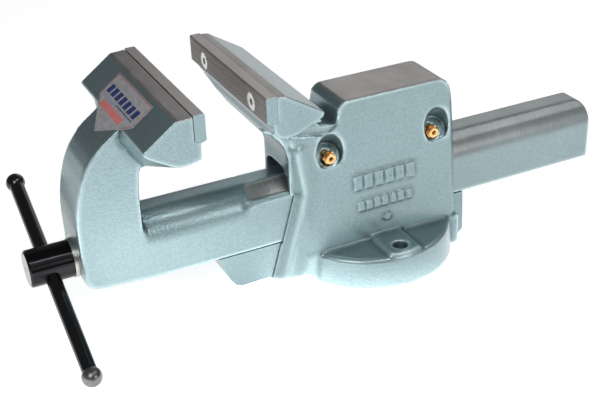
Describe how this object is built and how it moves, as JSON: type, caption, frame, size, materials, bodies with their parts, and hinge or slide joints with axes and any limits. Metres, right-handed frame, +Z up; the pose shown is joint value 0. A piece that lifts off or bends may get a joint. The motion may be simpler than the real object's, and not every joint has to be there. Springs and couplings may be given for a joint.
{
  "type": "bench vise",
  "caption": "Bench vise with a fixed round base, anvil, wide knurled jaws, a channel-shaped sliding bar and a screw turned by a sliding tommy bar",
  "frame": {"origin": "On the base underside, midway between the two bench bolt holes", "axes": "Bar and screw run along Y with the handle end towards -Y, the jaws' width along X, +Z up; -Z meets the bench"},
  "size_m": [0.1942, 0.5166, 0.198],
  "materials": {
    "paint_body": "hammertone enamel over cast iron, machined top",
    "paint_rail": "hammertone enamel over machined steel",
    "paint_jaw": "hammertone enamel over cast iron, machined bar facets",
    "plate_steel": "knurled and hardened",
    "plate_steel_2": "knurled and hardened",
    "jaw_screw_steel": "turned",
    "black_screw": "black oxide",
    "bright_steel": "turned",
    "bronze": "as machined",
    "nipple_brass": "yellow passivated",
    "label": "printed film",
    "black_steel": "oiled black oxide"
  },
  "bodies": {
    "fixed_body": {"body_casting": "paint_body", "fixed_jaw_plate": "plate_steel", "fixed_jaw_screws": "jaw_screw_steel", "guide_rail": "paint_rail", "rail_screws": "black_screw", "spindle_nut": "bronze", "nut_bolts": "black_screw", "nut_dowels": "bright_steel", "grease_nipples": "nipple_brass"},
    "sliding_jaw": {"moving_jaw": "paint_jaw", "moving_jaw_plate": "plate_steel_2", "moving_jaw_screws": "jaw_screw_steel", "jaw_label": "label", "spindle_bush": "bronze", "bush_pin": "black_screw"},
    "screw": {"spindle": "black_steel", "thrust_washer": "bright_steel", "retaining_collar": "bright_steel", "collar_pin": "bright_steel", "detent_ball": "bright_steel", "detent_spring": "bright_steel", "detent_screw": "bright_steel"},
    "handle": {"handle_rod": "black_steel", "handle_ball_upper": "black_steel", "handle_ball_lower": "black_steel"}
  },
  "joints": [
    {"name": "jaw_slide", "type": "slide", "parent": "fixed_body", "child": "sliding_jaw", "axis": [0, 1, 0], "range_m": [-0.14001, 0.04651]},
    {"name": "spindle_turn", "type": "hinge", "parent": "sliding_jaw", "child": "screw", "pos_m": [0, -0.28, 0.067], "axis": [0, 1, 0], "range_deg": [-10080, 3348]},
    {"name": "handle_slide", "type": "slide", "parent": "screw", "child": "handle", "axis": [0.9212, 0, -0.3891], "range_m": [-0.081, 0.061]}
  ],
  "couplings": [
    {"joint": "jaw_slide", "follows": "spindle_turn", "m_per_rad": 0.00079577}
  ]
}
